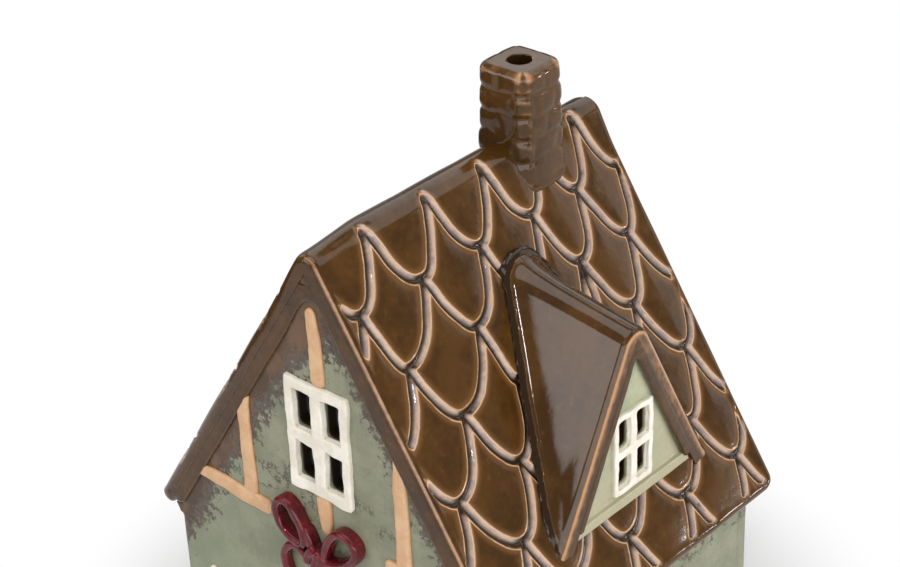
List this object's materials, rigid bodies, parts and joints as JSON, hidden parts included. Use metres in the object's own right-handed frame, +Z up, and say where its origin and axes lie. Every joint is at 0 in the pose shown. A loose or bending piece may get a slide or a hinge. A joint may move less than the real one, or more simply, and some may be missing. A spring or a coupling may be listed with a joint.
{
  "type": "house tea light holder",
  "caption": "Glazed pottery house that shelters a tea light: steep scalloped roof with a dormer and a chimney flue, half-timbered gable with a bow, cut-through windows and an arched open back.",
  "frame": {"origin": "on the table under the middle of the walls' footprint", "axes": "+Z up; the front gable with the bow faces -Y and the candle doorway +Y; +X is the side with the dormer"},
  "size_m": [0.1186, 0.1041, 0.1607],
  "materials": {
    "glaze_brown": "glossy brown glaze",
    "glaze_sage": "satin sage green glaze, speckled",
    "glaze_celadon": "glossy pale green glaze",
    "glaze_peach": "satin peach slip",
    "glaze_white": "satin white glaze",
    "glaze_red": "glossy dark red glaze",
    "bare_clay": "unglazed stoneware",
    "cup_aluminium": "pressed foil cup",
    "wax": "paraffin wax",
    "wick_cotton": "waxed cotton"
  },
  "bodies": {
    "house": {"floor_slab": "bare_clay", "wall_front": "glaze_sage", "wall_rear": "glaze_sage", "wall_left": "glaze_sage", "wall_right": "glaze_sage", "roof_left": "glaze_brown", "roof_right": "glaze_brown", "chimney": "glaze_brown", "dormer_roof_front": "glaze_brown", "dormer_roof_rear": "glaze_brown", "dormer_wall": "glaze_celadon", "dormer_window": "glaze_white", "gable_window": "glaze_white", "ground_window_left": "glaze_white", "ground_window_right": "glaze_white", "side_window_left": "glaze_white", "side_window_right": "glaze_white", "door": "glaze_brown", "door_knob": "glaze_peach", "king_post_upper": "glaze_peach", "king_post_lower": "glaze_peach", "post_left": "glaze_peach", "post_right": "glaze_peach", "rail_left": "glaze_peach", "rail_right": "glaze_peach", "side_rail_left_front": "glaze_peach", "side_rail_left_rear": "glaze_peach", "side_rail_right_front": "glaze_peach", "side_rail_right_rear": "glaze_peach", "bow_loop_left": "glaze_red", "bow_loop_right": "glaze_red", "bow_knot": "glaze_red", "bow_tail_left": "glaze_red", "bow_tail_right": "glaze_red"},
    "tea_light": {"tea_light_cup": "cup_aluminium", "tea_light_wax": "wax", "wick_tab": "cup_aluminium", "wick": "wick_cotton"}
  },
  "joints": [
    {"name": "tea_light_slide", "type": "slide", "parent": "house", "child": "tea_light", "axis": [0, 1, 0], "range_m": [0, 0.085]}
  ]
}
